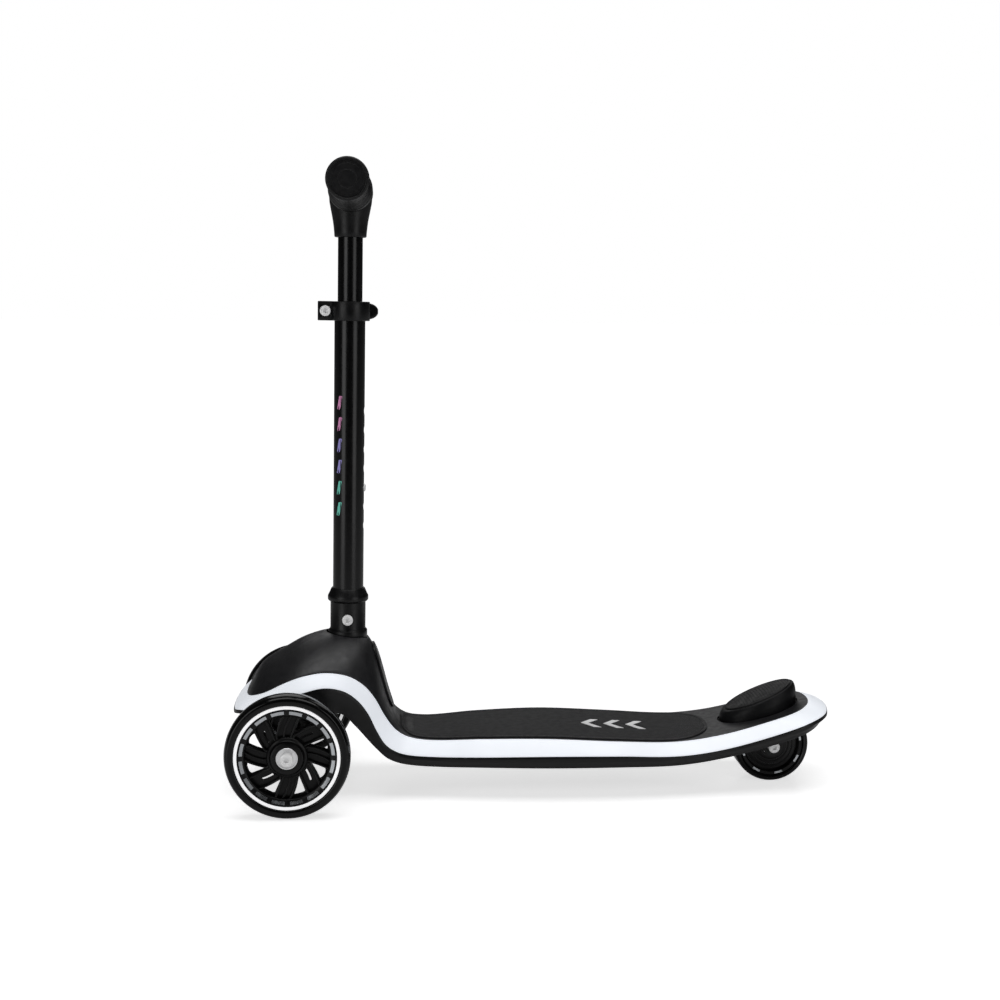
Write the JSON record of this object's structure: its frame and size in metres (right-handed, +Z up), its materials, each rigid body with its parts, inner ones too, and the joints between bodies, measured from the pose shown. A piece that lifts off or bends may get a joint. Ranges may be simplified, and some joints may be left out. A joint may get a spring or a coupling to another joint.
{
  "type": "kick scooter",
  "caption": "Lean-to-steer kick scooter: two large front wheels on a sprung truck, wide rear wheel with pedal brake, telescopic T stem, light band round the deck.",
  "frame": {"origin": "on the ground, under the middle of the overall box", "axes": "+X forward, +Y to the rider's left, +Z up"},
  "size_m": [0.6321, 0.332, 0.6436],
  "materials": {
    "deck_black": "fine satin",
    "deck_satin": "satin, fine grain",
    "mat": "matte rubber with a fine grid",
    "light": "frosted diffuser",
    "strip": "matte",
    "battery": "shrink sleeve",
    "board": "solder mask",
    "alloy": "extruded",
    "steel": "zinc plated",
    "socket_black": "satin gloss moulded",
    "gloss_black": "gloss powder coat",
    "bush": "nylon",
    "cast_black": "black coated casting",
    "tyre": "smoky polyurethane",
    "wheel_black": "gloss moulded",
    "white_ring": "printed white",
    "silver": "reflective",
    "bearing": "polished",
    "shoe": "matte",
    "grip": "matte"
  },
  "bodies": {
    "deck": {"deck_tray": "deck_black", "deck_cover": "deck_satin", "grip_mat": "mat", "light_band": "light", "led_strip": "strip", "battery_pack": "battery", "control_board": "board", "neck_panel": "deck_black", "deck_stiffener": "alloy", "deck_screws": "steel", "stem_socket": "socket_black", "socket_bolt": "steel", "collar_ring": "socket_black", "lower_tube": "gloss_black", "tube_bushing": "bush", "clamp_collar": "socket_black", "clamp_bolt": "steel", "clamp_barrel": "steel", "steer_bracket": "cast_black", "bracket_screws": "cast_black", "kingpin": "cast_black", "lock_nuts": "steel", "steer_springs": "cast_black", "rear_bracket": "cast_black", "rear_axle": "steel", "brake_pin": "steel", "brake_spring": "steel"},
    "truck": {"truck_beam": "cast_black", "pivot_bushes": "shoe", "axle_bolts": "steel", "axle_spacers": "steel"},
    "left_wheel": {"left_tyre": "tyre", "left_core": "wheel_black", "left_trim_rings": "white_ring", "left_inserts": "silver", "left_bearings": "bearing"},
    "right_wheel": {"right_tyre": "tyre", "right_core": "wheel_black", "right_trim_rings": "white_ring", "right_inserts": "silver", "right_bearings": "bearing"},
    "rear_wheel": {"rear_tyre": "tyre", "rear_core": "wheel_black", "rear_inserts": "silver", "rear_bearings": "bearing"},
    "brake": {"brake_pedal": "deck_satin", "brake_tread": "mat", "brake_shoe": "shoe"},
    "handlebar": {"upper_tube": "gloss_black", "t_joint": "socket_black", "cross_tube": "gloss_black", "left_grip": "grip", "right_grip": "grip", "bar_screw": "steel", "snap_spring": "steel"},
    "clamp_lever": {"clamp_lever": "socket_black"},
    "snap_button": {"snap_button": "steel"}
  },
  "joints": [
    {"name": "steer", "type": "hinge", "parent": "deck", "child": "truck", "pos_m": [0.2505, 0, 0.068], "axis": [0.7071, 0, 0.7071], "range_deg": [-10, 10], "stiffness_Nm_per_rad": 60, "deforming": ["steer_springs"]},
    {"name": "left_wheel_spin", "type": "hinge", "parent": "truck", "child": "left_wheel", "pos_m": [0.2535, 0.118, 0.0625], "axis": [0, 1, 0], "continuous": true},
    {"name": "right_wheel_spin", "type": "hinge", "parent": "truck", "child": "right_wheel", "pos_m": [0.2535, -0.118, 0.0625], "axis": [0, 1, 0], "continuous": true},
    {"name": "rear_wheel_spin", "type": "hinge", "parent": "deck", "child": "rear_wheel", "pos_m": [-0.2565, 0, 0.04], "axis": [0, 1, 0], "continuous": true},
    {"name": "brake_press", "type": "hinge", "parent": "deck", "child": "brake", "pos_m": [-0.2135, 0, 0.056], "axis": [0, -1, 0], "range_deg": [0, 3], "stiffness_Nm_per_rad": 12, "springref_deg": -2.86, "deforming": ["brake_spring"]},
    {"name": "bar_height", "type": "slide", "parent": "deck", "child": "handlebar", "axis": [-0.0105, 0, 0.9999], "range_m": [-0.04, 0.08]},
    {"name": "lever_open", "type": "hinge", "parent": "deck", "child": "clamp_lever", "pos_m": [0.21762, -0.016, 0.49914], "axis": [-0.0105, 0, 0.9999], "range_deg": [0, 100]},
    {"name": "button_press", "type": "slide", "parent": "handlebar", "child": "snap_button", "axis": [0.9999, 0, 0.0105], "range_m": [0, 0.0036], "stiffness_N_per_m": 600, "springref_m": -0.003, "deforming": ["snap_spring"]}
  ]
}
